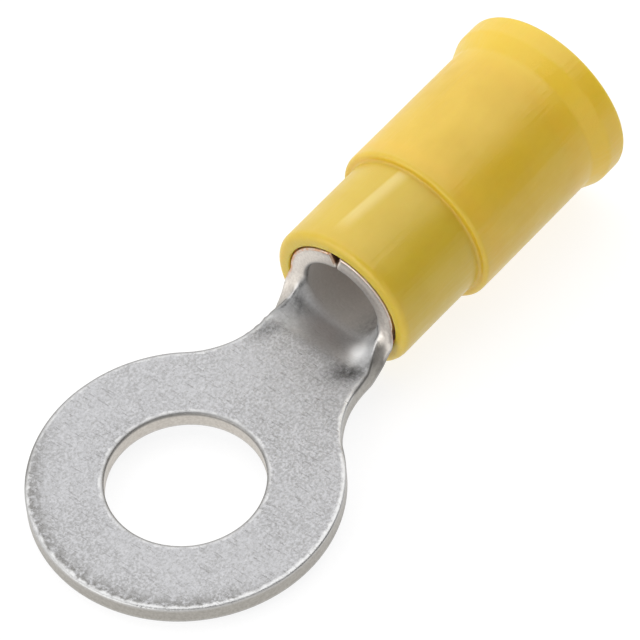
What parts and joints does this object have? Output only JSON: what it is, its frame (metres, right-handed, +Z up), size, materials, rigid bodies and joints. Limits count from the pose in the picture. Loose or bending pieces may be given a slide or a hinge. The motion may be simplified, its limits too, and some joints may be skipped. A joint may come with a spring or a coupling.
{
  "type": "insulated ring terminal",
  "caption": "Crimp ring terminal for a threaded stud, with a flat ring tongue, a rolled wire barrel and a stepped yellow nylon insulating sleeve with a flared wire entry.",
  "frame": {"origin": "centre of the stud hole, on the underside of the ring tongue", "axes": "+X along the barrel from the stud hole towards the wire entry, +Z up through the stud hole, towards the side the barrel stands on"},
  "size_m": [0.0292, 0.0126, 0.0079],
  "materials": {
    "tin_plate": "dull tin plate over copper, lightly scratched, with burnished edges",
    "copper": "bare copper, slightly tarnished",
    "nylon": "translucent yellow nylon, satin"
  },
  "bodies": {
    "root": {"ring_terminal": "tin_plate", "support_sleeve": "copper", "insulating_sleeve": "nylon"}
  },
  "joints": []
}
